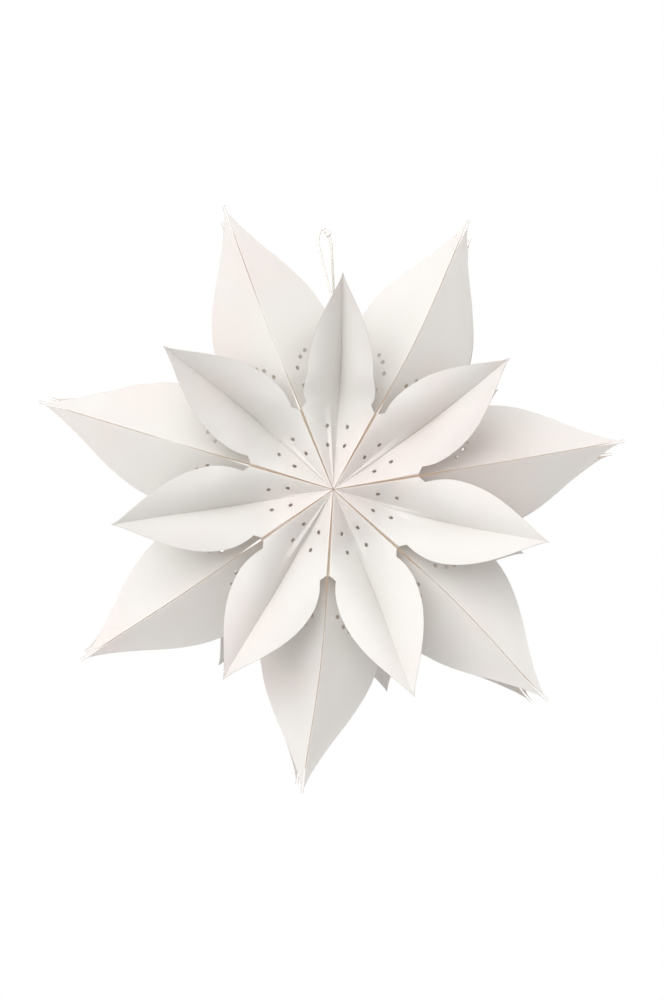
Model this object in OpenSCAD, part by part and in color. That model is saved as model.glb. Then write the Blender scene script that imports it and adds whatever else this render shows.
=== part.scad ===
// Paper advent star: a fan of folded units, each of an inner and an outer sheet of white paper.
// The star hangs with its axis along Y, its front to -Y and +Z up. The origin is its middle.
// A sheet is a tube round its unit: a side panel on each seam, and a gusset in front and behind.
// Inside a unit, u runs across, w outwards along its middle line, and v forwards in depth.

/* [Star] */
// Number of folded units round the axis
unit_count = 7; // [6:1:8]
// Direction of the first seam, in degrees from the horizontal
first_seam = 111.4; // [90:0.2:140]
// Twist of the star along its axis, in degrees for each millimetre of depth
twist = 0.0137; // [0:0.0005:0.02]
// Thickness of the paper
paper_t = 0.4; // [0.3:0.05:0.5]
// Distance from the axis at which the outer sheets begin
hub_r = 2.6; // [2.4:0.1:4]

/* [Large petals] */
// Distance of a large petal's tip from the axis
large_r = 230; // [210:1:260]
// Depth of the large petals' ridges from the star's middle plane
large_depth = 49; // [46:0.5:50]
// Dip of those ridges where the outer sheet's folds cover them
ridge_dip = 7; // [6:0.5:9]
// Widest reach of a large half petal, square to its ridge
large_half_w = 46.2; // [42:0.2:48]
// Distance along the ridge at which that widest reach lies
large_wide_at = 120; // [116:1:130]
// Slope of a large half petal, back from its ridge
large_slope = 0.38; // [0.3:0.01:0.5]
// Slope of the inner gusset near the hub
gusset_slope = 0.8; // [0.76:0.01:0.9]
// Distance of the inner side panel from the middle of the seam
inner_gap = 1.15; // [1.1:0.05:1.5]
// Distance from the axis at which the inner sheets begin
inner_start = 8; // [7:0.5:12]

/* [Small petals] */
// Distance of a small petal's tip from the axis
small_r = 165; // [155:1:180]
// Depth of a small petal's tip from the star's middle plane
small_depth = 110; // [95:1:120]
// Half width of a small petal at its widest
small_half_w = 32; // [29:0.5:33]
// Distance of that widest place from the axis
small_wide_at = 90; // [86:1:96]
// Length of the folded seam edge, from the axis to the notch
seam_fold = 66; // [60:0.5:70]
// Depth of the notch that frees a small petal from its seam
notch = 4.5; // [3:0.5:6]
// Depth of the outer sheet's seam fold from the star's middle plane
fold_depth = 52; // [51.5:0.5:56]
// Distance of the outer side panel from the middle of the seam
outer_gap = 0.35; // [0.3:0.05:0.4]
// Spread of the outer fold away from the seam, for each millimetre from the axis
fold_spread = 0.027; // [0.01:0.001:0.03]
// Drop of the outer gusset behind its folds, as a share of its half width
gusset_drop = 0.87; // [0.8:0.01:1]
// Height of the pleat that stands in the gusset near the hub, as a share of its half width
pleat_share = 0.34; // [0.1:0.02:0.5]

/* [Punched holes] */
// Diameter of the punched holes
hole_d = 3.4; // [2.5:0.1:4]
// Clearance of the cord in its two holes
cord_clear = 0.7; // [0.5:0.1:1]

/* [Hanging cord] */
// Diameter of the hanging cord
cord_d = 2.2; // [1.6:0.1:2.6]
// Diameter of the cord's knot
knot_d = 6.4; // [5:0.1:7]

/* [Hidden] */
step_deg = 360 / unit_count;
half_deg = step_deg / 2;
units = [for (i = [1 : unit_count]) i];

// Margin by which a folded tube passes the outline that is cut from it
margin = 3;
// Rows of folds, as shares of the tube's length along the unit
inner_shares = [0, 0.12, 0.24, 0.35, 0.45, 0.56, 0.7, 0.85, 1];
fold_shares = [0, 0.27, 0.55, 0.82];
petal_shares = [0, 0.18, 0.42, 0.68, 1];
// Columns of folds across half a gusset, from its middle crease to the seam fold
inner_columns = [0, 0.3, 0.55, 0.8, 1];
outer_columns = [0, 0.14, 0.3, 0.55, 0.8, 1];
// Columns on a side panel, as shares of its half width
side_columns = [0.82, 0.35];
// Share of the half gusset that the pleat takes up
pleat_foot = 0.3;
// Distances along the ridge between which the inner gusset flattens, as shares of large_r
flatten_from = 0.31;
flatten_to = 0.59;
// Distances from the axis between which the pleat fades, as shares of seam_fold
fade_from = 0.6;
fade_to = 1.24;
// Place where the ridge is back at its full depth, as a share of seam_fold
ridge_free = 1.45;
// Slope of a small half petal at its tip, and the bend of the petal along its crease
tip_slope = 0.3;
petal_bend = 1.12;
// Steps along a petal's outline, and the fullness of the two outlines
outline_steps = 14;
large_full = 1.75;
small_full = 1.35;
// Least opening of a fold that its mitre follows
mitre_limit = 0.34;
hole_sides = 24;
punch_h = 16;

function lerp(a, b, t) = a + (b - a) * t;
// Rises smoothly from 0 to 1 while x goes from a to b
function ease(x, a, b) = let(t = max(0, min(1, (x - a) / (b - a)))) t * t * (3 - 2 * t);
function reverse(list) = [for (i = [len(list) - 1 : -1 : 0]) list[i]];

// Point at p square to the seam and y along it, given as u across and w along the unit
function from_seam(p, y) =
    [y * sin(half_deg) - p * cos(half_deg), y * cos(half_deg) + p * sin(half_deg)];
// Half width of a unit at distance w, less the gap to the seam
function half_width(w, gap) = w * tan(half_deg) - gap / cos(half_deg);
// Point of the twisted star at u, w and v in the unit that lies at this angle
function place(u, w, v, angle) =
    let(a = angle + twist * v)
    [w * cos(a) + u * sin(a), -v, w * sin(a) - u * cos(a)];

// Depth of the large petal's ridge at distance y along the seam
function ridge_depth(y) = large_depth - ridge_dip * (1 - ease(y, seam_fold, ridge_free * seam_fold));
// Depth of the inner gusset: a slope back from each ridge, flatter towards the tips
function inner_depth(u, w) =
    let(p = w * sin(half_deg) - abs(u) * cos(half_deg),
        y = w * cos(half_deg) + abs(u) * sin(half_deg),
        slope = lerp(gusset_slope, large_slope, ease(y, flatten_from * large_r, flatten_to * large_r)))
    ridge_depth(y) - max(p - inner_gap, 0) * slope;

// Gap between the outer fold and the seam at distance w
function fold_gap(w) = outer_gap + fold_spread * min(w, seam_fold) / cos(half_deg);
// Depth of the small petal's crease: it drops towards the notch and rises to the tip
function crease_depth(w) =
    let(fold_w = seam_fold * cos(half_deg),
        valley = fold_depth - gusset_drop * half_width(min(w, fold_w), fold_gap(w)),
        rise = max(0, (w - fold_w) / (small_r - fold_w)))
    lerp(valley, small_depth, pow(rise, petal_bend));
// Slope of a small half petal from its crease forwards to its edge
function petal_slope(w) = lerp(gusset_drop, tip_slope, ease(w, fade_from * seam_fold, small_r));
// Pleat that stands in the crease near the hub
function pleat_height(u, w) =
    let(a = half_width(w, fold_gap(w)), fade = 1 - ease(w, fade_from * seam_fold, fade_to * seam_fold))
    pleat_share * a * fade * max(0, 1 - abs(u) / (pleat_foot * a));
function outer_depth(u, w) = crease_depth(w) + petal_slope(w) * abs(u) + pleat_height(u, w);

// Closed section from its front right quarter, mirrored over the middle line and plane
function whole_section(quarter) =
    let(half = concat(quarter, [for (p = reverse(quarter)) [p[0], -p[1]]]),
        inside = [for (i = [1 : len(half) - 2]) half[i]])
    concat(half, [for (p = reverse(inside)) [-p[0], p[1]]]);
function inner_section(w) =
    let(a = half_width(w, inner_gap))
    whole_section(concat(
        [for (c = inner_columns) [c * a, inner_depth(c * a, w)]],
        [for (c = side_columns) [a, c * large_depth]]));
function outer_section(w) =
    let(a = half_width(w, fold_gap(w)), b = half_width(w, outer_gap))
    whole_section(concat(
        [for (c = outer_columns) [c * a, outer_depth(c * a, w)]],
        [for (c = side_columns) [b, c * fold_depth]]));

// Closed section moved out by d, with mitred folds
function outward(a, b) = let(d = b - a) [d[1], -d[0]] / norm(d);
function offset_section(loop, d) =
    let(n = len(loop))
    [for (i = [0 : n - 1])
        let(n1 = outward(loop[(i + n - 1) % n], loop[i]), n2 = outward(loop[i], loop[(i + 1) % n]))
        loop[i] + d * (n1 + n2) / max(1 + n1 * n2, mitre_limit)];

// Tube of paper folded through the sections at these rows
module folded_tube(rows, sections, angle) {
    n = len(sections[0]);
    m = len(rows);
    skins = [for (d = [paper_t / 2, -paper_t / 2], j = [0 : m - 1])
        each [for (p = offset_section(sections[j], d)) place(p[0], rows[j], p[1], angle)]];
    inside = n * m;
    last = n * (m - 1);
    walls = [for (j = [0 : m - 2], i = [0 : n - 1])
        let(a = j * n + i, b = j * n + (i + 1) % n, c = a + n, d = b + n)
        each [[a, b, d], [a, d, c],
              [inside + a, inside + d, inside + b], [inside + a, inside + c, inside + d]]];
    rims = [for (i = [0 : n - 1])
        let(a = i, b = (i + 1) % n, c = last + a, d = last + b)
        each [[a, inside + b, b], [a, inside + a, inside + b],
              [c, d, inside + d], [c, inside + d, inside + c]]];
    polyhedron(skins, concat(walls, rims), convexity = 8);
}

// Half width of a petal as a share of its widest, while t runs from there to the tip
function petal_share(t, fullness) = pow(1 - t * t, fullness);
outline_t = [for (k = [0 : outline_steps]) k / outline_steps];
function large_edge(t) = [large_half_w * petal_share(t, large_full), lerp(large_wide_at, large_r, t)];
function small_edge(t) = [small_half_w * petal_share(t, small_full), lerp(small_wide_at, small_r, t)];

// Right halves of the two cut outlines, seen along the axis
inner_outline = concat(
    [from_seam(-margin, 0), from_seam(-margin, large_r)],
    [for (t = reverse(outline_t)) let(e = large_edge(t)) from_seam(e[0], e[1])],
    [from_seam(large_half_w, large_half_w / tan(half_deg))]);
shoulder = from_seam(fold_gap(seam_fold) + notch, seam_fold + notch * sin(step_deg));
shoulder_steps = 5;
outer_outline = concat(
    [from_seam(-margin, 0), from_seam(-margin, seam_fold), from_seam(fold_gap(seam_fold), seam_fold)],
    [for (k = [0 : shoulder_steps - 1])
        let(t = 1 - k / shoulder_steps)
        [lerp(small_half_w, shoulder[0], t * t), lerp(small_wide_at, shoulder[1], t)]],
    [for (t = outline_t) small_edge(t)]);

// Block inside the outline on one face of the star: face is 1 in front and -1 behind
module outline_block(points, face, angle) {
    rim = concat(points, reverse([for (p = points) [-p[0], p[1], p[2]]]));
    places = [for (p = rim) place(p[0], p[1], face * p[2], angle)];
    rotate([90, 0, 0]) linear_extrude(height = small_depth + 10 * margin)
        polygon([for (q = places) [q[0], q[2]]]);
}
module cut_to(points, angle) {
    intersection() {
        children();
        union() {
            outline_block(points, 1, angle);
            mirror([0, 1, 0]) outline_block(points, -1, angle);
        }
    }
}

// Gap in both side panels between the front and the back point of a large petal
flat_half_w = large_half_w * norm([1, large_slope]);
side_rim = [for (t = outline_t)
    [large_edge(t)[1], max(0, large_depth - flat_half_w * petal_share(t, large_full))]];
module side_gaps(angle) {
    rim = concat(reverse(side_rim), [for (p = side_rim) [p[0], -p[1]]],
        [[large_r + margin, -large_depth], [large_r + margin, large_depth]]);
    for (side = [-1, 1])
        rotate([0, -angle - side * half_deg, 0]) translate([0, 0, -side * inner_gap])
            linear_extrude(height = 2 * margin, center = true)
                polygon(rim);
}

// Punched holes of half a gusset, in front and behind, on both sides of the crease
inner_holes = [from_seam(9.3, 82.6), from_seam(9.6, 96.7), from_seam(14.8, 104), from_seam(19.8, 107.4)];
outer_holes = [[6.6, 33.8], [7.9, 48.6]];
module punch(points, angle) {
    for (p = points, side = [-1, 1], face = [-1, 1])
        translate(place(side * p[0], p[1], face * p[2], angle)) rotate([90, 0, 0])
            cylinder(h = punch_h, d = hole_d, center = true, $fn = hole_sides);
}

// Points given the depth of their gusset
function on_inner(points) = [for (p = points) [p[0], p[1], inner_depth(p[0], p[1])]];
function on_outer(points) = [for (p = points) [p[0], p[1], outer_depth(p[0], p[1])]];

// Inner sheet, which ends in two half petals in front and two behind
module inner_sheet(i) {
    angle = unit_angle(i);
    color("floralwhite") difference() {
        cut_to(on_inner(inner_outline), angle)
            folded_tube(inner_rows, [for (w = inner_rows) inner_section(w)], angle);
        side_gaps(angle);
        punch(on_inner(inner_holes), angle);
        if (i == 1) cord_hole();
    }
}
// Outer sheet, which ends in a small petal in front and one behind
module outer_sheet(i) {
    angle = unit_angle(i);
    color("white") difference() {
        cut_to(on_outer(outer_outline), angle)
            folded_tube(outer_rows, [for (w = outer_rows) outer_section(w)], angle);
        punch(on_outer(outer_holes), angle);
    }
}
inner_end = large_r * cos(half_deg) + margin;
inner_rows = [for (s = inner_shares) lerp(inner_start, inner_end, s)];
outer_rows = concat(
    [for (s = fold_shares) lerp(hub_r, seam_fold, s)],
    [for (s = petal_shares) lerp(seam_fold, small_r + margin, s)]);
function unit_angle(i) = first_seam - half_deg + (i - 1) * step_deg;

// Route of the cord, from its knot down behind, through the top unit's two creases and up in front
cord_route = [
    [-2.6, 0.8, 199.6], [-0.8, 2, 193.5], [0.3, 5, 179], [1.5, 11, 159], [3.4, 18, 137],
    [5.6, 24, 118], [6.8, 27, 104], [7.1, 25, 98.5], [7.2, 19, 96], [7.2, 8, 95.8],
    [7.2, -8, 95.8], [7.2, -19, 96], [7.1, -25, 98.5], [6.8, -27.5, 104], [5.6, -26, 118],
    [3, -21, 135], [-0.9, -15, 153], [-5, -9, 168], [-8.4, -5, 182], [-10.6, -2, 193],
    [-9.8, -0.5, 201], [-6.5, 0, 204.8], [-4.2, 0.2, 203]];
knot_at = [-3, 0.5, 201];
cord_hole_at = [7.2, 0, 96.1];
cord_sides = 8;
cord_cuts = 2;
module cord_hole() {
    translate(cord_hole_at) rotate([90, 0, 0])
        cylinder(h = large_depth, d = cord_d + 2 * cord_clear, center = true, $fn = hole_sides);
}

// Smooth curve through the points of the route
function curve(a, b, c, d, t) =
    b + 0.5 * ((c - a) * t + (2 * a - 5 * b + 4 * c - d) * t * t + (3 * b - a - 3 * c + d) * t * t * t);
function smooth_route(points) =
    let(last = len(points) - 1)
    concat([for (i = [0 : last - 1], k = [0 : cord_cuts - 1])
        curve(points[max(i - 1, 0)], points[i], points[i + 1], points[min(i + 2, last)], k / cord_cuts)],
        [points[last]]);
// Round tube swept along a route, with a frame that doesn't spin round it
function across(side, along) = let(a = side - (side * along) * along / (along * along)) a / norm(a);
module cord_tube(route) {
    n = len(route);
    along = [for (i = [0 : n - 1]) route[min(i + 1, n - 1)] - route[max(i - 1, 0)]];
    sides = [for (i = 0, a = across([1, 0, 0], along[0]); i < n;
        i = i + 1, a = i < n ? across(a, along[i]) : a) a];
    rings = [for (i = [0 : n - 1])
        let(a = sides[i], b = cross(along[i] / norm(along[i]), a))
        each [for (k = [0 : cord_sides - 1])
            let(turn = 360 * k / cord_sides)
            route[i] + cord_d / 2 * (cos(turn) * a + sin(turn) * b)]];
    walls = [for (i = [0 : n - 2], k = [0 : cord_sides - 1])
        let(a = i * cord_sides + k, b = i * cord_sides + (k + 1) % cord_sides)
        each [[a, b + cord_sides, b], [a, a + cord_sides, b + cord_sides]]];
    ends = [[for (k = [0 : cord_sides - 1]) k],
            [for (k = [cord_sides - 1 : -1 : 0]) (n - 1) * cord_sides + k]];
    polyhedron(rings, concat(walls, ends), convexity = 6);
}
module hanging_cord() {
    color("ivory") {
        cord_tube(smooth_route(cord_route));
        translate(knot_at) sphere(d = knot_d, $fn = hole_sides);
    }
}

for (i = units) {
    inner_sheet(i);
    outer_sheet(i);
}
hanging_cord();
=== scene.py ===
"""Paper advent star: folded sheets, punched holes, a twisted hanging cord, and a white studio."""

import math

import bmesh
import bpy
import numpy as np
from bpy.props import FloatProperty, FloatVectorProperty, PointerProperty
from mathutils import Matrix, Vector


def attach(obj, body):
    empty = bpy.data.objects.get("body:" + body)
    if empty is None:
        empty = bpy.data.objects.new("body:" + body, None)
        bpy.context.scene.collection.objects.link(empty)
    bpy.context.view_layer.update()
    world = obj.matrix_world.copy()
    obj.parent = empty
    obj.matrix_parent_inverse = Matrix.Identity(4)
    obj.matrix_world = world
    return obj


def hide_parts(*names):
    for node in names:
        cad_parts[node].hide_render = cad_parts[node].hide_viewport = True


bl_info = {
    "name": "Paper advent star",
    "version": (1, 0, 0),
    "blender": (4, 5, 0),
    "location": "View3D > Sidebar > Star",
    "description": "Builds a folded paper star that hangs by a cord",
    "category": "Add Mesh",
}

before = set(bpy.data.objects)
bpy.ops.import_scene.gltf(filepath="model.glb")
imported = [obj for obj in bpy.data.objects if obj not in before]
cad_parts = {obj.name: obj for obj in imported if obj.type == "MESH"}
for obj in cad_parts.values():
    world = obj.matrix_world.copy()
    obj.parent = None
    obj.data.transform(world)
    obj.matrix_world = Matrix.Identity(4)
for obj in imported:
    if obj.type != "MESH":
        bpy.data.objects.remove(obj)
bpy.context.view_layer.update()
MM = 0.001

# Directions in degrees, anticlockwise from the right as seen from the front
FIRST_SEAM = 111.4
UNITS = 7

# Habits of the hand-folded units, from the top one anticlockwise: how far each small petal
# leans in front and behind, in degrees, its length, and how far its halves are squeezed together
SMALL_HABITS = (
    (0.6, 0.4, 0.971, 0.77),
    (1.9, 1.1, 1.0, 0.95),
    (-0.5, -1.0, 1.019, 1.0),
    (-1.6, -1.5, 1.0, 1.0),
    (-2.0, -3.6, 1.009, 0.97),
    (1.4, 1.9, 1.0, 1.0),
    (0.7, -0.7, 0.982, 0.94),
)
# The lean in front and behind and the length of each large petal, between its unit and the next,
# and how steep its clockwise and its anticlockwise half are
LARGE_HABITS = (
    (-0.9, 1.1, 1.009, 0.7, 0.95),
    (-0.1, -0.8, 1.017, 0.9, 0.85),
    (-0.8, -0.7, 1.006, 0.85, 1.2),
    (-2.2, -1.7, 1.009, 0.85, 1.35),
    (-2.3, -2.6, 0.996, 1.1, 0.75),
    (0.3, 0.0, 0.981, 1.35, 0.7),
    (2.5, 1.9, 1.002, 1.1, 0.9),
)
# The narrow pleat from the hub in each small petal: its length, and its lean across the petal
PLEATS = (
    (0.92, -0.22),
    (0.75, 0.10),
    (0.62, -0.06),
    (1.05, 0.12),
    (0.85, -0.10),
    (1.2, 0.05),
    (1.0, -0.04),
)
# Holes of a quarter sheet, in mm: off the seam and along it, or off the middle line and along it
INNER_HOLES = ((9.3, 82.6), (9.6, 96.7), (14.8, 104.0), (19.8, 107.4))
OUTER_HOLES = ((6.6, 33.8), (7.9, 48.6))
# The cord passes through the top inner sheet at this x and z, in mm
CORD_HOLE = (7.2, 96.1)
# Way of the cord from inside its knot, down behind and up in front, in mm
CORD_ROUTE = (
    (-2.6, 0.8, 199.6), (-0.8, 2, 193.5), (0.3, 5, 179), (1.5, 11, 159), (3.4, 18, 137), (5.6, 24, 118),
    (6.8, 27, 104), (7.1, 25, 98.5), (7.2, 19, 96), (7.2, 8, 95.8), (7.2, -8, 95.8), (7.2, -19, 96),
    (7.1, -25, 98.5), (6.8, -27.5, 104), (5.6, -26, 118), (3, -21, 135), (-0.9, -15, 153), (-5, -9, 168),
    (-8.4, -5, 182), (-10.6, -2, 193), (-9.8, -0.5, 201), (-6.5, 0, 204.8), (-4.2, 0.2, 203),
)
KNOT = (-3, 0.5, 201)
CORD_CUTS = 12
CORD_PITCH = 9 * MM
STRAND_DEPTH = 0.1
# How far from the middle plane the cord passes the two gussets of the top inner sheet
CORD_PUNCH_Y = 18 * MM

# Points closer than this are joined, and shorter edges are taken out
WELD = 0.02 * MM
SLIVER = 0.01 * MM
# Folds sharper than this stay crisp
CREASE_ANGLE = math.radians(28)
PUNCH_DEPTH = 4 * MM
# Cuts of a sheet's grids: along each stretch of the unit, and across
INNER_ROWS = (9, 8, 7, 3, 34)
INNER_COLUMNS = 19
OUTER_ROWS = (18, 3, 9, 24)
OUTER_COLUMNS = 43
SIDE_COLUMNS = 9

# Share of light that passes through the paper, and its tone
THROUGH_SHARE = 0.34
THROUGH_COLOUR = (0.93, 0.9, 0.86, 1)
# Painted warm light on the side panels inside the slots: a glow that stands in for light bounced between
# the sheets
SLOT_PAINTED_LIGHT = 0.3
SLOT_PAINTED_LIGHT_COLOUR = (0.46, 0.38, 0.31, 1)

# The stage: how far off the floor and backdrop are, and how large
FLOOR_Z = -4.5
BACKDROP_Y = 5
PLANE_SIZE = 30
WORLD_STRENGTH = 0.68
# Lights: name, place, width and power
LIGHTS = (
    ("key", (-0.75, -1.95, 0.95), 2.0, 48),
    ("fill", (0.1, -2.6, -0.5), 2.0, 4),
)
# The camera: what it looks at, how far off, the height that it sees there, and its angles
AIM = (0, 0, -0.0068)
DISTANCE = 2.432
VIEW_HEIGHT = 0.777
AZIMUTH = math.radians(-1.06)
ELEVATION = math.radians(-1.35)
SENSOR_HEIGHT = 36


class StarSizes(bpy.types.PropertyGroup):
    """Sizes of the folded sheets"""

    twist: FloatProperty(
        name="Twist", description="Turn of the star along its axis, in degrees per metre", default=13.7
    )
    paper: FloatProperty(
        name="Paper", description="Thickness of the paper", default=0.4 * MM, unit="LENGTH", precision=5
    )
    hub_r: FloatProperty(
        name="Hub", description="Distance from the axis at which the outer sheets begin",
        default=1.2 * MM, unit="LENGTH", precision=5,
    )
    inner_start: FloatProperty(
        name="Inner start", description="Distance from the axis at which the inner sheets begin",
        default=8 * MM, unit="LENGTH", precision=5,
    )
    large_r: FloatProperty(
        name="Large petals", description="Distance of a large tip from the axis",
        default=0.230, unit="LENGTH",
    )
    large_depth: FloatProperty(
        name="Large depth", description="Depth of the large ridges from the middle plane",
        default=0.049, unit="LENGTH",
    )
    ridge_dip: FloatProperty(
        name="Ridge dip", description="Dip of the large ridges under the outer folds",
        default=0.007, unit="LENGTH",
    )
    large_half_w: FloatProperty(
        name="Large half width", description="Widest reach of a large half petal",
        default=0.0462, unit="LENGTH",
    )
    large_wide_at: FloatProperty(
        name="Large widest at", description="Place of that reach along the ridge",
        default=0.120, unit="LENGTH",
    )
    large_slope: FloatProperty(
        name="Large slope", description="Slope of a large half petal back from its ridge", default=0.54
    )
    gusset_slope: FloatProperty(
        name="Gusset slope", description="Slope of the inner gusset near the hub", default=0.8
    )
    inner_gap: FloatProperty(
        name="Inner gap", description="Distance of the inner side panel from the seam",
        default=1.15 * MM, unit="LENGTH", precision=5,
    )
    ridge_close: FloatProperty(
        name="Ridge close",
        description="How far the two edges of a large ridge close up between its ends",
        default=0.75 * MM, unit="LENGTH", precision=5,
    )
    ridge_open: FloatProperty(
        name="Ridge open", description="How far they part again at the tip",
        default=0.5 * MM, unit="LENGTH", precision=5,
    )
    tip_body: FloatProperty(
        name="Tip body", description="Extra width that keeps the large tips from fraying to nothing",
        default=2.4 * MM, unit="LENGTH", precision=5,
    )
    dent: FloatProperty(
        name="Dents", description="Depth of the soft dents in the large petals",
        default=0.9 * MM, unit="LENGTH", precision=5,
    )
    small_r: FloatProperty(
        name="Small petals", description="Distance of a small tip from the axis",
        default=0.165, unit="LENGTH",
    )
    small_depth: FloatProperty(
        name="Small depth", description="Depth of a small tip from the middle plane",
        default=0.110, unit="LENGTH",
    )
    small_half_w: FloatProperty(
        name="Small half width", description="Half width of a small petal", default=0.032, unit="LENGTH"
    )
    small_wide_at: FloatProperty(
        name="Small widest at", description="Distance of that width from the axis",
        default=0.090, unit="LENGTH",
    )
    seam_fold: FloatProperty(
        name="Seam fold", description="Length of the outer sheet's seam fold",
        default=0.066, unit="LENGTH",
    )
    notch: FloatProperty(
        name="Notch", description="Depth of the notch at the end of the seam fold",
        default=0.0045, unit="LENGTH", precision=4,
    )
    fold_depth: FloatProperty(
        name="Fold depth", description="Depth of the outer seam folds from the middle plane",
        default=0.052, unit="LENGTH",
    )
    outer_gap: FloatProperty(
        name="Outer gap", description="Distance of the outer side panel from the seam",
        default=0.35 * MM, unit="LENGTH", precision=5,
    )
    fold_spread: FloatProperty(
        name="Fold spread", description="Spread of the outer fold from the seam per metre", default=0.016
    )
    gusset_drop: FloatProperty(
        name="Gusset drop", description="Drop of the outer gusset as a share of its half width",
        default=0.87,
    )
    pleat_share: FloatProperty(
        name="Pleat", description="Height of the pleat near the hub as a share of the half width",
        default=0.2,
    )
    petal_bow: FloatProperty(
        name="Petal bow", description="How steeply a small petal's halves leave their crease", default=3.0
    )
    hole_d: FloatProperty(
        name="Holes", description="Diameter of the punched holes",
        default=3.4 * MM, unit="LENGTH", precision=5,
    )
    cord_d: FloatProperty(
        name="Cord", description="Diameter of the hanging cord",
        default=2.2 * MM, unit="LENGTH", precision=5,
    )
    knot_d: FloatProperty(
        name="Knot", description="Size of the cord's knot", default=6.4 * MM, unit="LENGTH", precision=5
    )


class StarColours(bpy.types.PropertyGroup):
    """Colours of the paper, the cord and the studio"""

    paper: FloatVectorProperty(
        name="Paper", description="Face of the white paper", subtype="COLOR", default=(0.83, 0.82, 0.80)
    )
    scorch: FloatVectorProperty(
        name="Cut edges", description="Tone of the cut edges", subtype="COLOR",
        default=(0.36, 0.25, 0.16),
    )
    cord: FloatVectorProperty(
        name="Cord", description="Cotton cord", subtype="COLOR", default=(0.90, 0.87, 0.81)
    )
    studio: FloatVectorProperty(
        name="Studio", description="Floor and backdrop", subtype="COLOR", default=(0.9, 0.9, 0.9)
    )


def ease(x, a, b):
    """Rises smoothly from 0 to 1 while x goes from a to b"""
    t = np.clip((np.asarray(x, float) - a) / (b - a), 0, 1)
    return t * t * (3 - 2 * t)


def lerp(a, b, t):
    """Goes from a to b while t goes from 0 to 1"""
    return a + (b - a) * t


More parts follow.
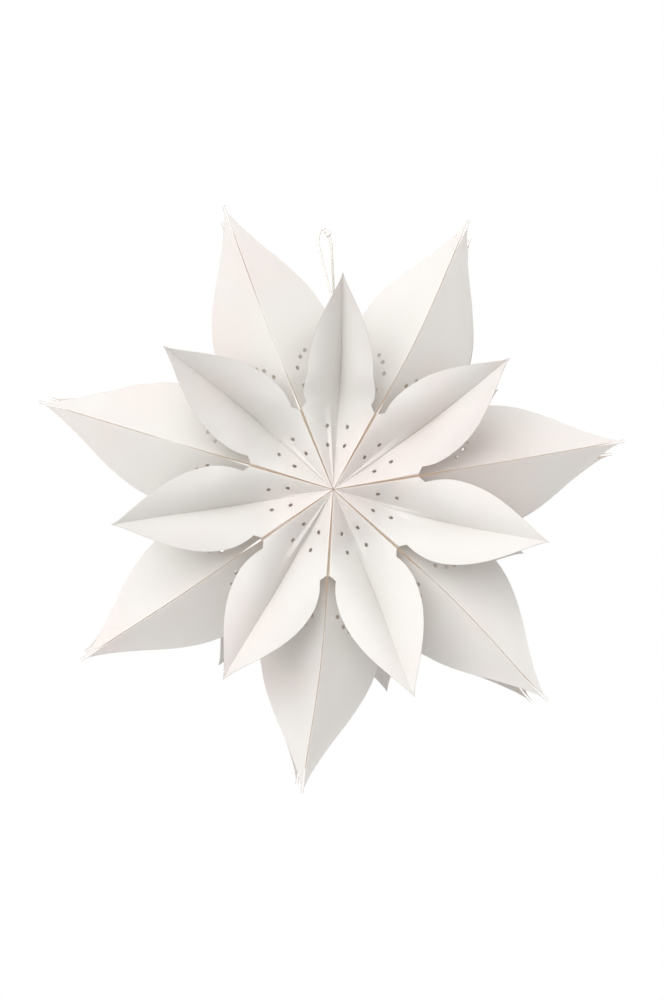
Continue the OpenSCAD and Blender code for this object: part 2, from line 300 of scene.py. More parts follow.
class Unit:
    """The shape of one folded unit: u across, w outwards along its middle line, v in depth"""

    # Fullness of the petals' outlines
    large_full = 1.75
    small_full = 1.35
    # Shares of large_r between which the inner gusset flattens out
    flatten = (0.31, 0.59)
    # Shares of seam_fold: where the ridge is back at full depth, and where the folds start to fade
    ridge_free = 1.45
    fade_from = 0.6
    # Shares of the fold's length between which the small petal's crease bends over softly
    waist = (0.62, 1.6)
    # Slope of a small half petal at its tip, and the bend of its crease towards it
    tip_slope = 0.26
    petal_bend = 1.12
    # Half the pleat's foot, as a share of the half width
    pleat_foot = 0.15

    def __init__(self, sizes, index):
        self.s = sizes
        self.index = index
        self.half = math.pi / UNITS
        self.sin = math.sin(self.half)
        self.cos = math.cos(self.half)
        self.angle = math.radians(FIRST_SEAM) - self.half + index * 2 * self.half
        self.join = sizes.large_half_w / math.tan(self.half)
        front, back, self.stretch, self.squeeze = SMALL_HABITS[index]
        self.lean = {1: front, -1: back}
        self.pleat_reach, self.pleat_off = PLEATS[index]
        self.ridges = {1: LARGE_HABITS[index - 1][:3], -1: LARGE_HABITS[index][:3]}
        self.steep = {1: LARGE_HABITS[index - 1][4], -1: LARGE_HABITS[index][3]}

    def from_seam(self, p, y):
        """u and w of a point p off the seam and y along it"""
        return y * self.sin - p * self.cos, y * self.cos + p * self.sin

    def half_width(self, w, gap):
        """Half the unit's width at w, less its gap to the seam"""
        return w * math.tan(self.half) - gap / self.cos

    def place(self, u, w, v, lean=0.0):
        """Points of the twisted star, in the row's frame"""
        a = self.angle + math.radians(self.s.twist) * v + np.radians(lean)
        return np.stack([w * np.cos(a) + u * np.sin(a), -v, w * np.sin(a) - u * np.cos(a)], axis=-1)

    def ridge_gap(self, y):
        """Distance of the inner sheet from the seam: nearly closed between the folds and the tips"""
        s = self.s
        closed = ease(y, s.seam_fold, 1.5 * s.seam_fold)
        return s.inner_gap - s.ridge_close * closed + s.ridge_open * ease(y, 0.85 * s.large_r, s.large_r)

    def ridge_depth(self, y):
        """Depth of the large ridge, which dips under the outer folds"""
        s = self.s
        return s.large_depth - s.ridge_dip * (1 - ease(y, s.seam_fold, self.ridge_free * s.seam_fold))

    def inner_depth(self, p, y, side):
        """Depth of the inner gusset at p off the seam and y along it"""
        s = self.s
        flat = ease(y, self.flatten[0] * s.large_r, self.flatten[1] * s.large_r)
        steep = lerp(1, self.steep[side], ease(y, self.join, 1.3 * self.join))
        slope = lerp(s.gusset_slope, s.large_slope, flat) * steep
        return self.ridge_depth(y) - np.maximum(p - self.ridge_gap(y), 0) * slope

    def wave(self, c, y, side):
        """Soft dents of the hand-folded paper, none at the ridge"""
        s = self.s
        k = self.index * 1.7 + side
        dent = np.sin(y / 0.021 + k * 2.1 + 2.4 * c) * np.cos(2.6 * c + k) + 0.6 * np.sin(y / 0.034 - k)
        return s.dent * dent * c * ease(y, s.seam_fold, 1.6 * s.seam_fold)

    def fold_gap(self, w):
        """Distance of the outer fold from the seam, wider away from the hub"""
        return self.s.outer_gap + self.s.fold_spread * np.minimum(w, self.s.seam_fold) / self.cos

    def crease_depth(self, w):
        """Depth of the outer sheet's middle crease: a valley, then the rise to the small tip"""
        s = self.s
        fold_w = s.seam_fold * self.cos

        def sharp(w):
            inner = np.minimum(w, fold_w)
            valley = s.fold_depth - s.gusset_drop * self.half_width(inner, self.fold_gap(w))
            rise = np.maximum(0, (w - fold_w) / (s.small_r - fold_w))
            return lerp(valley, s.small_depth, rise ** self.petal_bend)

        w1, w2 = (k * fold_w for k in self.waist)
        step = 0.001
        m1, m2 = (sharp(w1) - sharp(w1 - step)) / step, (sharp(w2 + step) - sharp(w2)) / step
        t = (w - w1) / (w2 - w1)
        soft = ((2 * t**3 - 3 * t**2 + 1) * sharp(w1) + (t**3 - 2 * t**2 + t) * (w2 - w1) * m1
                + (3 * t**2 - 2 * t**3) * sharp(w2) + (t**3 - t**2) * (w2 - w1) * m2)
        return np.where((t > 0) & (t < 1), soft, sharp(w))

    def outer_depth(self, u, w):
        """Depth of the outer sheet at u from its crease: steep beside it, then nearly flat"""
        s = self.s
        out = ease(w, self.fade_from * s.seam_fold, 1.5 * s.seam_fold)
        slope = lerp(s.gusset_drop, self.tip_slope, ease(w, self.fade_from * s.seam_fold, s.small_r))
        deeper = np.sqrt((1 + slope**2) / self.squeeze**2 - 1)
        slope = lerp(slope, deeper, 0.5 * ease(w, s.seam_fold, s.small_wide_at))
        a = self.half_width(w, self.fold_gap(w))
        length = self.pleat_reach * s.seam_fold
        pleat = np.maximum(0, 1 - np.abs(u / a - self.pleat_off) / self.pleat_foot)
        pleat = pleat * s.pleat_share * a * (1 - ease(w, 0.35 * length, 1.25 * length))
        wide = lerp(a, s.small_half_w, ease(w, 0.8 * s.seam_fold, s.small_wide_at))
        rise = 1 - (1 - np.minimum(np.abs(u) / wide, 1)) ** lerp(1.15, s.petal_bow, out)
        return self.crease_depth(w) + slope * wide * rise + pleat

    def large_reach(self, y):
        """Reach of a large half petal square to its ridge at y, down to the crease"""
        s = self.s
        t = np.clip((y - s.large_wide_at) / (s.large_r - s.large_wide_at), 0, 1)
        leaf = s.large_half_w * (1 - t * t) ** self.large_full
        leaf = leaf + s.tip_body * np.clip(1 - t, 0, 1) ** 0.5 * ease(t, 0.6, 0.9)
        return np.minimum(y * math.tan(self.half), leaf)

    def small_reach(self, w):
        """Half width of the outer sheet at w: folded, notched, then the petal"""
        s = self.s
        gap = self.fold_gap(s.seam_fold)
        end_u, end_w = self.from_seam(gap, s.seam_fold)
        top_u, top_w = self.from_seam(gap + s.notch, s.seam_fold + s.notch * math.sin(2 * self.half))
        folded = self.half_width(w, self.fold_gap(w))
        notch = end_u + (top_u - end_u) * (w - end_w) / (top_w - end_w)
        back = np.clip((s.small_wide_at - w) / (s.small_wide_at - top_w), 0, 1)
        lower = lerp(s.small_half_w, top_u, back**2)
        t = np.clip((w - s.small_wide_at) / (s.small_r - s.small_wide_at), 0, 1)
        leaf = s.small_half_w * (1 - t * t) ** self.small_full
        reach = np.select([w <= end_w, w <= top_w, w <= s.small_wide_at], [folded, notch, lower], leaf)
        return reach * lerp(1, self.squeeze, ease(w, s.seam_fold, s.small_wide_at))


def grid_faces(rows, columns, start):
    """Quads of a grid of rows by columns"""
    i, j = np.meshgrid(np.arange(rows - 1), np.arange(columns - 1), indexing="ij")
    a = start + i * columns + j
    return np.stack([a, a + 1, a + columns + 1, a + columns], axis=-1).reshape(-1, 4)


def sheet_mesh(name, grids):
    """Mesh of a folded sheet from its grids of points, joined where they meet"""
    verts, faces, deep, start = [], [], [], 0
    for points, flip, inside in grids:
        rows, columns = points.shape[:2]
        deep.append(np.broadcast_to(inside, (rows - 1, columns - 1)).ravel())
        quads = grid_faces(rows, columns, start)
        faces.append(quads[:, ::-1] if flip else quads)
        verts.append(points.reshape(-1, 3))
        start += rows * columns
    mesh = bpy.data.meshes.new(name)
    mesh.from_pydata(np.concatenate(verts).tolist(), [], np.concatenate(faces).tolist())
    # The side panel faces, which the paper material gives painted warm light inside the slots
    inside = mesh.attributes.new("inside", "FLOAT", "FACE")
    inside.data.foreach_set("value", np.concatenate(deep).astype(np.float32))
    bm = bmesh.new()
    bm.from_mesh(mesh)
    bmesh.ops.remove_doubles(bm, verts=bm.verts, dist=WELD)
    bmesh.ops.dissolve_degenerate(bm, dist=SLIVER, edges=bm.edges)
    bmesh.ops.recalc_face_normals(bm, faces=bm.faces)
    bm.to_mesh(mesh)
    bm.free()
    return mesh


def link(name, mesh):
    """A new object in the scene with this mesh"""
    obj = bpy.data.objects.new(name, mesh)
    bpy.context.scene.collection.objects.link(obj)
    return obj


def inner_grids(unit):
    """Quarters of an inner sheet: half a gusset, the seam fold and half a side panel"""
    s = unit.s
    flat = s.large_half_w * math.hypot(1, s.large_slope)
    top = (1 - (s.large_depth / flat) ** (1 / unit.large_full)) ** 0.5
    side_top = lerp(s.large_wide_at, s.large_r, top)
    start = s.inner_start / unit.cos
    stops = [start, s.seam_fold, unit.join, s.large_wide_at, side_top, s.large_r]
    y = np.concatenate([np.linspace(a, b, n, endpoint=False) for a, b, n in
                        zip(stops, stops[1:], INNER_ROWS)] + [[s.large_r]])[:, None]
    c = np.linspace(1, 0, INNER_COLUMNS)[None, :] ** 1.25
    gap = unit.ridge_gap(y)
    reach = np.maximum(unit.large_reach(y), gap)
    p = gap + c * (reach - gap)
    d = np.linspace(0, 1, SIDE_COLUMNS)[None, 1:]
    ridge = unit.ridge_depth(y)
    t = np.clip((y - s.large_wide_at) / (s.large_r - s.large_wide_at), 0, 1)
    low = np.where(y <= side_top, 0, ridge - flat * (1 - t * t) ** unit.large_full)
    low = np.clip(low, 0, ridge)
    u, w = unit.from_seam(np.concatenate([p, gap + 0 * d], axis=1), y)
    panel = ridge - d * (ridge - low)
    u[:, 0] = np.where(y[:, 0] <= unit.join + 1e-9, 0, u[:, 0])
    far = ease(y, unit.join, s.large_r)
    for side in (1, -1):
        front, back, stretch = unit.ridges[side]
        longer = 1 + (stretch - 1) * far
        v = unit.inner_depth(p, y, side)
        front, back = front * far, back * ease(y, 1.5 * unit.join, s.large_r)
        for face in (1, -1):
            bent = np.concatenate([v + unit.wave(c, y, side * face) * 4 * far * (1 - far), panel], axis=1)
            share = np.concatenate([np.ones_like(v), panel / ridge], axis=1)
            lean = (front + back) / 2 + (front - back) / 2 * face * share
            points = unit.place(side * u * longer, w * longer, face * bent, lean)
            yield points, side * face < 0, np.arange(points.shape[1] - 1) >= c.shape[1] - 1


def outer_grids(unit):
    """Both faces of an outer sheet, gusset and petal, and its side panels up to the notch"""
    s = unit.s
    end_w = unit.from_seam(unit.fold_gap(s.seam_fold), s.seam_fold)[1]
    top_w = unit.from_seam(
        unit.fold_gap(s.seam_fold) + s.notch, s.seam_fold + s.notch * math.sin(2 * unit.half))[1]
    stops = [s.hub_r, end_w, top_w, s.small_wide_at, s.small_r]
    w = np.concatenate([np.linspace(a, b, n, endpoint=False) for a, b, n in
                        zip(stops, stops[1:], OUTER_ROWS)] + [[s.small_r]])[:, None]
    t = np.linspace(-1, 1, OUTER_COLUMNS)
    foot = unit.pleat_off + np.array([-1, 0, 1]) * unit.pleat_foot
    c = np.unique(np.round(np.concatenate([t * np.abs(t) ** 0.4, foot]), 4))[None, :]
    u = c * np.maximum(unit.small_reach(w), 0)
    v = unit.outer_depth(u, w)
    far = ease(w, s.seam_fold, s.small_r)
    longer = 1 + (unit.stretch - 1) * far
    folded = (w[:, 0] <= end_w + 1e-9).sum()
    d = np.linspace(0, 1, SIDE_COLUMNS)[None, :]
    fw = w[:folded]
    outside = unit.half_width(fw, unit.fold_gap(fw))
    side_u = lerp(outside, unit.half_width(fw, s.outer_gap), ease(d, 0, 0.25))
    for face in (1, -1):
        yield unit.place(u * longer, w * longer + 0 * u, face * v, unit.lean[face] * far), face > 0, 0
        for side in (1, -1):
            corner = v[:folded, -1:] if side > 0 else v[:folded, :1]
            yield unit.place(side * side_u, fw + 0 * side_u, face * corner * (1 - d)), side * face > 0, 1


def inner_marks(unit):
    """Centres of the holes of an inner sheet and the way each one is punched"""
    s = unit.s
    for side in (1, -1):
        front, back, stretch = unit.ridges[side]
        for p, y in INNER_HOLES:
            far = ease(y * MM, unit.join, s.large_r)
            longer = 1 + (stretch - 1) * far
            for face in (1, -1):
                spots = []
                for dp, dy in ((0, 0), (0.5, 0), (0, 0.5)):
                    q, r = (p + dp) * MM, (y + dy) * MM
                    u, w = unit.from_seam(q, r)
                    v = unit.inner_depth(q, r, side)
                    lean = front * far if face > 0 else 0
                    spots.append(unit.place(side * u * longer, w * longer, face * v, lean))
                yield spots[0], np.cross(spots[1] - spots[0], spots[2] - spots[0])
    if unit.index == 0:
        for y in (-CORD_PUNCH_Y, CORD_PUNCH_Y):
            yield np.array([CORD_HOLE[0] * MM, y, CORD_HOLE[1] * MM]), np.array([0, 1.0, 0])


def outer_marks(unit):
    """Centres of the holes of an outer sheet and the way each one is punched"""
    for side in (1, -1):
        for u0, w0 in OUTER_HOLES:
            for face in (1, -1):
                spots = []
                for du, dw in ((0, 0), (0.5, 0), (0, 0.5)):
                    u, w = side * (u0 + du) * MM, (w0 + dw) * MM
                    spots.append(unit.place(u, w, face * unit.outer_depth(u, w)))
                yield spots[0], np.cross(spots[1] - spots[0], spots[2] - spots[0])


def node(tree, kind, **values):
    """A node with its settings, and with its inputs set or linked by name or by number"""
    made = tree.nodes.new(kind)
    inputs = values.pop("inputs", {})
    for key, value in values.items():
        setattr(made, key, value)
    for key, value in inputs.items():
        if isinstance(value, bpy.types.NodeSocket):
            tree.links.new(value, made.inputs[key])
        else:
            made.inputs[key].default_value = value
    return made


def new_tree(name, sockets):
    """An empty tree with its named inputs, and their outputs inside it"""
    tree = bpy.data.node_groups.new(name, "GeometryNodeTree")
    for label, kind in (("Geometry", "NodeSocketGeometry"), *sockets):
        tree.interface.new_socket(label, in_out="INPUT", socket_type=kind)
    tree.interface.new_socket("Geometry", in_out="OUTPUT", socket_type="NodeSocketGeometry")
    return tree, node(tree, "NodeGroupInput").outputs


def end_tree(tree, geometry, material):
    """Ends a tree in real geometry with its material"""
    real = node(tree, "GeometryNodeRealizeInstances", inputs={"Geometry": geometry})
    done = node(tree, "GeometryNodeSetMaterial", inputs={
        "Geometry": real.outputs[0], "Material": material})
    node(tree, "NodeGroupOutput", inputs={0: done.outputs[0]})
    return tree


def punch_tree():
    """Nodes that punch a hole at each mark and note the cut faces of the paper"""
    tree, given = new_tree("Punched holes", (
        ("Marks", "NodeSocketObject"), ("Hole diameter", "NodeSocketFloat"),
        ("Punch depth", "NodeSocketFloat"), ("Material", "NodeSocketMaterial"),
    ))
    index = node(tree, "GeometryNodeInputMaterialIndex")
    sheet = node(tree, "GeometryNodeStoreNamedAttribute", data_type="FLOAT", domain="FACE", inputs={
        "Geometry": given["Geometry"], "Name": "cut", "Value": index.outputs[0]})
    sheet = node(tree, "GeometryNodeSetMaterialIndex", inputs={
        "Geometry": sheet.outputs[0], "Material Index": 0})
    radius = node(tree, "ShaderNodeMath", operation="MULTIPLY", inputs={
        0: given["Hole diameter"], 1: 0.5})
    punch = node(tree, "GeometryNodeMeshCylinder", inputs={
        "Vertices": 20, "Radius": radius.outputs[0], "Depth": given["Punch depth"]})
    punch = node(tree, "GeometryNodeStoreNamedAttribute", data_type="FLOAT", domain="FACE", inputs={
        "Geometry": punch.outputs[0], "Name": "cut", "Value": 1.0})
    marks = node(tree, "GeometryNodeObjectInfo", inputs={"Object": given["Marks"]})
    across = node(tree, "GeometryNodeInputNamedAttribute", data_type="FLOAT_VECTOR", inputs={
        "Name": "across"})
    turn = node(tree, "FunctionNodeAlignRotationToVector", axis="Z", inputs={"Vector": across.outputs[0]})
    punches = node(tree, "GeometryNodeInstanceOnPoints", inputs={
        "Points": marks.outputs["Geometry"], "Instance": punch.outputs[0], "Rotation": turn.outputs[0]})
    punches = node(tree, "GeometryNodeRealizeInstances", inputs={"Geometry": punches.outputs[0]})
    sheet = node(tree, "GeometryNodeMeshBoolean", operation="DIFFERENCE", solver="EXACT", inputs={
        "Mesh 1": sheet.outputs[0], "Mesh 2": punches.outputs[0]})
    return end_tree(tree, sheet.outputs[0], given["Material"])


def twine_tree():
    """Nodes that lay three twisted strands along a line"""
    tree, given = new_tree("Twisted cord", (
        ("Diameter", "NodeSocketFloat"), ("Pitch", "NodeSocketFloat"),
        ("Strand depth", "NodeSocketFloat"), ("Material", "NodeSocketMaterial"),
    ))
    line = node(tree, "GeometryNodeMeshToCurve", inputs={"Mesh": given["Geometry"]})
    along = node(tree, "GeometryNodeSplineParameter")
    turns = node(tree, "ShaderNodeMath", operation="DIVIDE", inputs={
        0: along.outputs["Length"], 1: given["Pitch"]})
    tilt = node(tree, "ShaderNodeMath", operation="MULTIPLY", inputs={0: turns.outputs[0], 1: math.tau})
    line = node(tree, "GeometryNodeSetCurveTilt", inputs={
        "Curve": line.outputs[0], "Tilt": tilt.outputs[0]})
    radius = node(tree, "ShaderNodeMath", operation="MULTIPLY", inputs={0: given["Diameter"], 1: 0.5})
    ring = node(tree, "GeometryNodeCurvePrimitiveCircle", inputs={
        "Resolution": 18, "Radius": radius.outputs[0]})
    about = node(tree, "GeometryNodeSplineParameter")
    lobe = node(tree, "ShaderNodeMath", operation="MULTIPLY", inputs={
        0: about.outputs["Factor"], 1: 3 * math.tau})
    lobe = node(tree, "ShaderNodeMath", operation="COSINE", inputs={0: lobe.outputs[0]})
    dip = node(tree, "ShaderNodeMath", operation="MULTIPLY_ADD", inputs={
        0: lobe.outputs[0], 1: given["Strand depth"], 2: 1.0})
    dip = node(tree, "ShaderNodeMath", operation="SUBTRACT", inputs={
        0: dip.outputs[0], 1: given["Strand depth"]})
    spot = node(tree, "GeometryNodeInputPosition")
    spot = node(tree, "ShaderNodeVectorMath", operation="SCALE", inputs={
        0: spot.outputs[0], "Scale": dip.outputs[0]})
    ring = node(tree, "GeometryNodeSetPosition", inputs={
        "Geometry": ring.outputs[0], "Position": spot.outputs[0]})
    cord = node(tree, "GeometryNodeCurveToMesh", inputs={
        "Curve": line.outputs[0], "Profile Curve": ring.outputs[0], "Fill Caps": True})
    return end_tree(tree, cord.outputs[0], given["Material"])


def run_tree(obj, tree, **values):
    """Runs the object's modifiers, the last one with this tree, and keeps the plain mesh"""
    nodes = obj.modifiers.new(tree.name, "NODES")
    nodes.node_group = tree
    for item in tree.interface.items_tree:
        key = item.name.lower().replace(" ", "_")
        if item.in_out == "INPUT" and key in values:
            nodes[item.identifier] = values[key]
    bpy.context.view_layer.update()
    mesh = bpy.data.meshes.new_from_object(obj.evaluated_get(bpy.context.evaluated_depsgraph_get()))
    obj.modifiers.clear()
    obj.data = mesh
    return mesh


def paper_material(name, colour, scorch):
    """White paper: fibre, soft clouds of tone, light through the sheet, scorched cut edges and painted
    warm light in the slots
    """
    mat = bpy.data.materials.new(name)
    mat.use_nodes = True
    tree = mat.node_tree
    place = node(tree, "ShaderNodeTexCoord").outputs["Object"]
    cloud = node(tree, "ShaderNodeTexNoise", inputs={"Vector": place, "Scale": 11.0, "Detail": 2.0})
    blush = node(tree, "ShaderNodeMapRange", interpolation_type="SMOOTHSTEP", inputs={
        "Value": cloud.outputs["Fac"], "From Min": 0.42, "From Max": 0.68})
    tone = node(tree, "ShaderNodeMix", data_type="RGBA", inputs={
        "Factor": blush.outputs[0], 6: (*colour, 1),
        7: (colour[0] * 1.01, colour[1] * 0.965, colour[2] * 0.97, 1)})
    edge = node(tree, "ShaderNodeAttribute", attribute_name="cut")
    burnt = node(tree, "ShaderNodeTexNoise", inputs={"Vector": place, "Scale": 160.0})
    burnt = node(tree, "ShaderNodeMath", operation="MULTIPLY_ADD", inputs={
        0: burnt.outputs["Fac"], 1: 0.5, 2: 0.35})
    burnt = node(tree, "ShaderNodeMath", operation="MULTIPLY", use_clamp=True, inputs={
        0: burnt.outputs[0], 1: edge.outputs["Fac"]})
    tone = node(tree, "ShaderNodeMix", data_type="RGBA", inputs={
        "Factor": burnt.outputs[0], 6: tone.outputs["Result"], 7: (*scorch, 1)})
    fibre = node(tree, "ShaderNodeTexNoise", inputs={"Vector": place, "Scale": 700.0, "Detail": 4.0})
    grain = node(tree, "ShaderNodeBump", inputs={
        "Height": fibre.outputs["Fac"], "Strength": 0.15, "Distance": 0.0004})
    rough = node(tree, "ShaderNodeMapRange", inputs={
        "Value": fibre.outputs["Fac"], "To Min": 0.5, "To Max": 0.75})
    shader = tree.nodes["Principled BSDF"]
    shader.inputs["Specular IOR Level"].default_value = 0.2
    tree.links.new(tone.outputs["Result"], shader.inputs["Base Color"])
    tree.links.new(rough.outputs[0], shader.inputs["Roughness"])
    tree.links.new(grain.outputs[0], shader.inputs["Normal"])
    # Painted warm light: the side panel faces inside the slots glow, standing in for light bounced
    # between the sheets
    inside = node(tree, "ShaderNodeAttribute", attribute_name="inside")
    painted_slot_light = node(tree, "ShaderNodeMath", operation="MULTIPLY", inputs={
        0: inside.outputs["Fac"], 1: SLOT_PAINTED_LIGHT})
    tree.links.new(painted_slot_light.outputs[0], shader.inputs["Emission Strength"])
    shader.inputs["Emission Color"].default_value = SLOT_PAINTED_LIGHT_COLOUR
    through = node(tree, "ShaderNodeBsdfTranslucent", inputs={"Color": THROUGH_COLOUR})
    mix = node(tree, "ShaderNodeMixShader", inputs={
        0: THROUGH_SHARE, 1: shader.outputs[0], 2: through.outputs[0]})
    tree.links.new(mix.outputs[0], tree.nodes["Material Output"].inputs[0])
    return mat


def cord_material(name, colour):
    """Cotton: fine fibre that sets its tone and its bumps"""
    mat = bpy.data.materials.new(name)
    mat.use_nodes = True
    tree = mat.node_tree
    place = node(tree, "ShaderNodeTexCoord").outputs["Object"]
    fibre = node(tree, "ShaderNodeTexNoise", inputs={"Vector": place, "Scale": 1600.0, "Detail": 3.0})
    tone = node(tree, "ShaderNodeMix", data_type="RGBA", inputs={
        "Factor": fibre.outputs["Fac"], 6: (*[c * 0.86 for c in colour], 1), 7: (*colour, 1)})
    bump = node(tree, "ShaderNodeBump", inputs={
        "Height": fibre.outputs["Fac"], "Strength": 0.5, "Distance": 0.0003})
    shader = tree.nodes["Principled BSDF"]
    shader.inputs["Roughness"].default_value = 0.9
    shader.inputs["Sheen Weight"].default_value = 0.2
    tree.links.new(tone.outputs["Result"], shader.inputs["Base Color"])
    tree.links.new(bump.outputs[0], shader.inputs["Normal"])
    return mat


def finish_sheet(obj, sizes, material, marks, tree):
    """Gives a folded sheet its thickness, its holes and its crisp folds"""
    obj.data.materials.append(material)
    obj.data.materials.append(material)
    solid = obj.modifiers.new("Paper", "SOLIDIFY")
    solid.thickness = sizes.paper
    solid.offset = 0
    solid.material_offset_rim = 1
    spots, ways = zip(*marks)
    mesh = bpy.data.meshes.new("marks")
    mesh.from_pydata([tuple(p) for p in spots], [], [])
    across = mesh.attributes.new("across", "FLOAT_VECTOR", "POINT")
    for item, way in zip(across.data, ways):
        item.vector = Vector(way).normalized()
    holder = link("marks", mesh)
    mesh = run_tree(obj, tree, marks=holder, hole_diameter=sizes.hole_d,
                    punch_depth=PUNCH_DEPTH, material=material)
    bpy.data.objects.remove(holder)
    while len(mesh.materials) > 1:
        mesh.materials.pop()
    mesh.shade_smooth()
    mesh.set_sharp_from_angle(angle=CREASE_ANGLE)


def fold_sheets(context, layer, grids, marks):
    """Folds the inner or the outer sheet of every unit"""
    sizes, colours = context.scene.star_sizes, context.scene.star_colours
    material = paper_material(f"paper_{layer}", colours.paper, colours.scorch)
    tree = punch_tree()
    for i in range(UNITS):
        unit = Unit(sizes, i)
        name = f"{layer}_sheet_{i + 1}"
        obj = link(f"{name}_paper", sheet_mesh(name, grids(unit)))
        finish_sheet(obj, sizes, material, marks(unit), tree)
        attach(obj, "root")
        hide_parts(name)


def smooth(points, cuts, closed=False):
    """A smooth line through the points, with this many cuts between two of them"""
    p = np.array(points, float)
    n = len(p)
    out = []
    for i in range(n if closed else n - 1):
        at = [(i + k) % n if closed else min(max(i + k, 0), n - 1) for k in (-1, 0, 1, 2)]
        a, b, c, d = p[at]
        for t in np.arange(cuts) / cuts:
            out.append(0.5 * (2 * b + (c - a) * t + (2 * a - 5 * b + 4 * c - d) * t * t
                              + (3 * b - 3 * c + d - a) * t**3))
    return np.array(out if closed else out + [p[-1]])


def line_object(name, points, closed=False):
    """An object whose mesh is a line through the points"""
    count = len(points)
    edges = [(i, (i + 1) % count) for i in range(count if closed else count - 1)]
    mesh = bpy.data.meshes.new(name)
    mesh.from_pydata([tuple(p) for p in points], edges, [])
    return link(name, mesh)


class STAR_OT_cord(bpy.types.Operator):
    """Lays the twisted hanging cord through the top sheet and ties its knot"""

    bl_idname = "star.cord"
    bl_label = "Cord"

    def execute(self, context):
        sizes = context.scene.star_sizes
        material = cord_material("cord", context.scene.star_colours.cord)
        tree = twine_tree()
        route = smooth(np.array(CORD_ROUTE) * MM, CORD_CUTS)
        cord = line_object("hanging_cord_twine", route)
        t = np.linspace(0, math.tau, 72, endpoint=False)
        bend = sizes.knot_d / 2 - 0.46 * sizes.cord_d
        knot = np.stack([
            (np.sin(t) + 2 * np.sin(2 * t)) / 3, 0.55 * -np.sin(3 * t),
            (np.cos(t) - 2 * np.cos(2 * t)) / 3,
        ], axis=-1) * bend + np.array(KNOT) * MM
        knot = line_object("hanging_cord_knot", knot, closed=True)
        for obj in (cord, knot):
            run_tree(obj, tree, diameter=sizes.cord_d, pitch=CORD_PITCH,
                     strand_depth=STRAND_DEPTH, material=material)
            obj.data.shade_smooth()
            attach(obj, "root")
            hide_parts("hanging_cord")
        return {"FINISHED"}


class STAR_OT_inner_sheets(bpy.types.Operator):
    """Folds the inner sheets with their large petals"""

    bl_idname = "star.inner_sheets"
    bl_label = "Inner sheets"

    def execute(self, context):
        fold_sheets(context, "inner", inner_grids, inner_marks)
        return {"FINISHED"}


class STAR_OT_outer_sheets(bpy.types.Operator):
    """Folds the outer sheets with their small petals"""

    bl_idname = "star.outer_sheets"
    bl_label = "Outer sheets"

    def execute(self, context):
        fold_sheets(context, "outer", outer_grids, outer_marks)
        return {"FINISHED"}


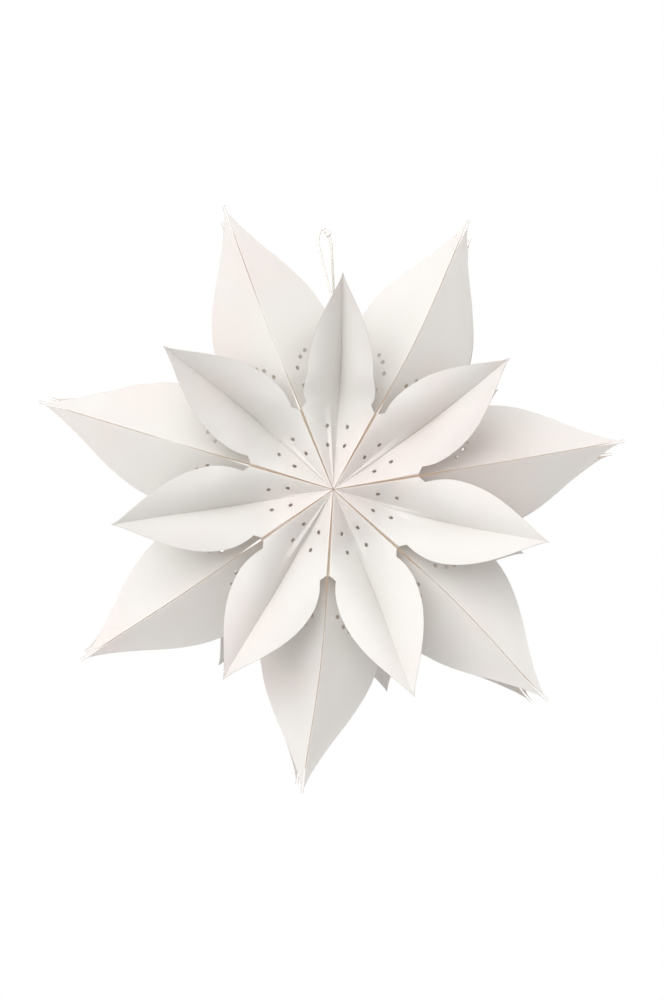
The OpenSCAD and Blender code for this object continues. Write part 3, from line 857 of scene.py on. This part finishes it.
class STAR_OT_stage(bpy.types.Operator):
    """Sets the floor, the backdrop, the lights and the camera"""

    bl_idname = "star.stage"
    bl_label = "Stage"

    def execute(self, context):
        scene = context.scene
        scene.view_settings.view_transform = "Standard"
        studio = bpy.data.materials.new("studio")
        studio.use_nodes = True
        nodes, links = studio.node_tree.nodes, studio.node_tree.links
        shader = nodes["Principled BSDF"]
        shader.inputs["Base Color"].default_value = (*scene.star_colours.studio, 1)
        shader.inputs["Roughness"].default_value = 1
        white = nodes.new("ShaderNodeEmission")
        path = nodes.new("ShaderNodeLightPath")
        mix = nodes.new("ShaderNodeMixShader")
        links.new(path.outputs["Is Camera Ray"], mix.inputs[0])
        links.new(shader.outputs[0], mix.inputs[1])
        links.new(white.outputs[0], mix.inputs[2])
        links.new(mix.outputs[0], nodes["Material Output"].inputs[0])
        for name, place, turn in (
            ("floor", (0, 0, FLOOR_Z), (0, 0, 0)),
            ("backdrop", (0, BACKDROP_Y, 0), (math.pi / 2, 0, 0)),
        ):
            bpy.ops.mesh.primitive_plane_add(size=PLANE_SIZE, location=place, rotation=turn)
            plane = context.object
            plane.name = name
            plane.data.materials.append(studio)
        world = bpy.data.worlds.new("studio")
        scene.world = world
        world.use_nodes = True
        background = world.node_tree.nodes["Background"]
        background.inputs["Color"].default_value = (1, 1, 1, 1)
        background.inputs["Strength"].default_value = WORLD_STRENGTH
        for name, place, size, power in LIGHTS:
            light = bpy.data.lights.new(name, "AREA")
            light.size = size
            light.energy = power
            lamp = bpy.data.objects.new(name, light)
            lamp.location = place
            lamp.rotation_euler = (-Vector(place)).to_track_quat("-Z", "Y").to_euler()
            scene.collection.objects.link(lamp)
        camera = bpy.data.cameras.new("camera")
        camera.sensor_fit = "VERTICAL"
        camera.sensor_height = SENSOR_HEIGHT
        camera.lens = camera.sensor_height * DISTANCE / VIEW_HEIGHT
        eye = bpy.data.objects.new("camera", camera)
        aim = Vector(AIM)
        eye.location = aim + DISTANCE * Vector((
            math.sin(AZIMUTH) * math.cos(ELEVATION),
            -math.cos(AZIMUTH) * math.cos(ELEVATION),
            math.sin(ELEVATION),
        ))
        eye.rotation_euler = (aim - eye.location).to_track_quat("-Z", "Y").to_euler()
        scene.collection.objects.link(eye)
        scene.camera = eye
        return {"FINISHED"}


class STAR_PT_panel(bpy.types.Panel):
    """Lists the star's pieces in the sidebar"""

    bl_label = "Paper star"
    bl_idname = "STAR_PT_panel"
    bl_space_type = "VIEW_3D"
    bl_region_type = "UI"
    bl_category = "Star"

    def draw(self, context):
        for name in OPERATORS:
            self.layout.operator(name)
        for group in (context.scene.star_sizes, context.scene.star_colours):
            for prop in group.bl_rna.properties:
                if not prop.is_readonly and prop.identifier != "name":
                    self.layout.prop(group, prop.identifier)


OPERATORS = ("star.stage", "star.cord", "star.inner_sheets", "star.outer_sheets")
CLASSES = (
    StarSizes,
    StarColours,
    STAR_OT_stage,
    STAR_OT_cord,
    STAR_OT_inner_sheets,
    STAR_OT_outer_sheets,
    STAR_PT_panel,
)


def register():
    """Makes the pieces' operators, sizes and panel known"""
    for cls in CLASSES:
        bpy.utils.register_class(cls)
    bpy.types.Scene.star_sizes = PointerProperty(type=StarSizes)
    bpy.types.Scene.star_colours = PointerProperty(type=StarColours)


def unregister():
    """Takes them away again"""
    del bpy.types.Scene.star_colours
    del bpy.types.Scene.star_sizes
    for cls in reversed(CLASSES):
        bpy.utils.unregister_class(cls)


def main():
    """Builds the stage and the star"""
    register()
    bpy.ops.star.stage()
    bpy.ops.star.cord()
    bpy.ops.star.inner_sheets()
    bpy.ops.star.outer_sheets()


if __name__ == "__main__":
    main()
